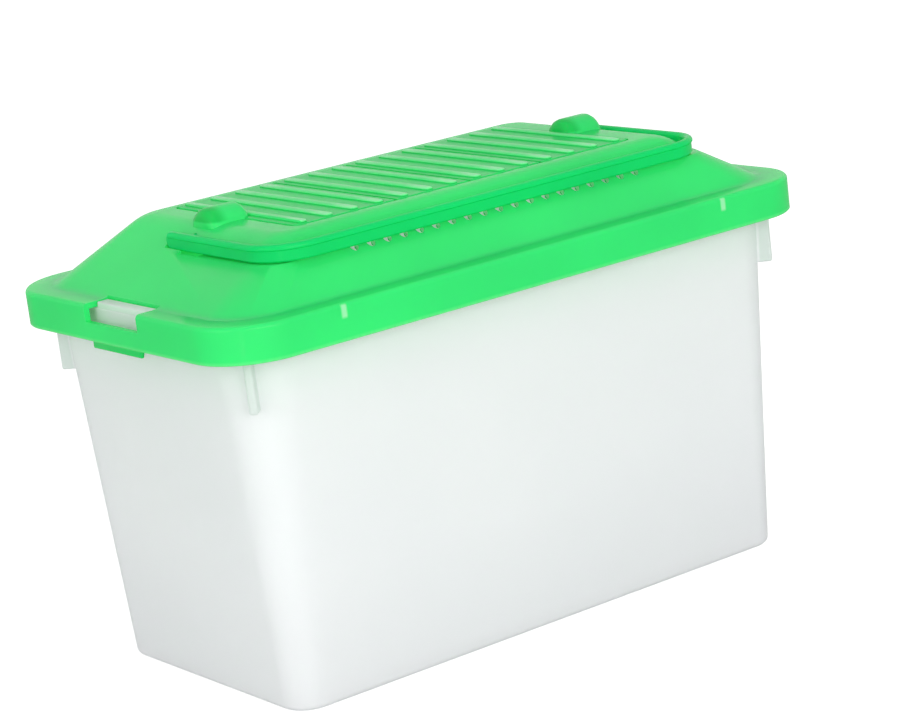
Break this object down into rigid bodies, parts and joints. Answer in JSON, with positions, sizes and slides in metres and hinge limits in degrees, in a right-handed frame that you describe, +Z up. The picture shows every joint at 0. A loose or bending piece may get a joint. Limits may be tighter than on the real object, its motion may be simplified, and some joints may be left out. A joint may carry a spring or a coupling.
{
  "type": "plastic pet keeper",
  "caption": "Small clear pet keeper: a tapered tank, a slotted and ribbed lid that clips over its rim, and a folding carry handle.",
  "frame": {"origin": "centre of the footprint, on the plane that the tank stands on", "axes": "+X along the length, +Y across the width away from the folded handle's long bar, +Z up"},
  "size_m": [0.15, 0.088, 0.097],
  "materials": {
    "clear_plastic": "clear, slightly frosted moulding",
    "green_plastic": "translucent, semi-gloss",
    "handle_plastic": "translucent, semi-gloss"
  },
  "bodies": {
    "tank_body": {"tank": "clear_plastic"},
    "lid_body": {"lid": "green_plastic"},
    "handle_body": {"carry_handle": "handle_plastic"}
  },
  "joints": [
    {"name": "lid_lift", "type": "slide", "parent": "tank_body", "child": "lid_body", "axis": [0, 0, 1], "range_m": [0, 0.12]},
    {"name": "handle_swing", "type": "hinge", "parent": "lid_body", "child": "handle_body", "pos_m": [0, 0, 0.09125], "axis": [-1, 0, 0], "range_deg": [0, 160]}
  ]
}
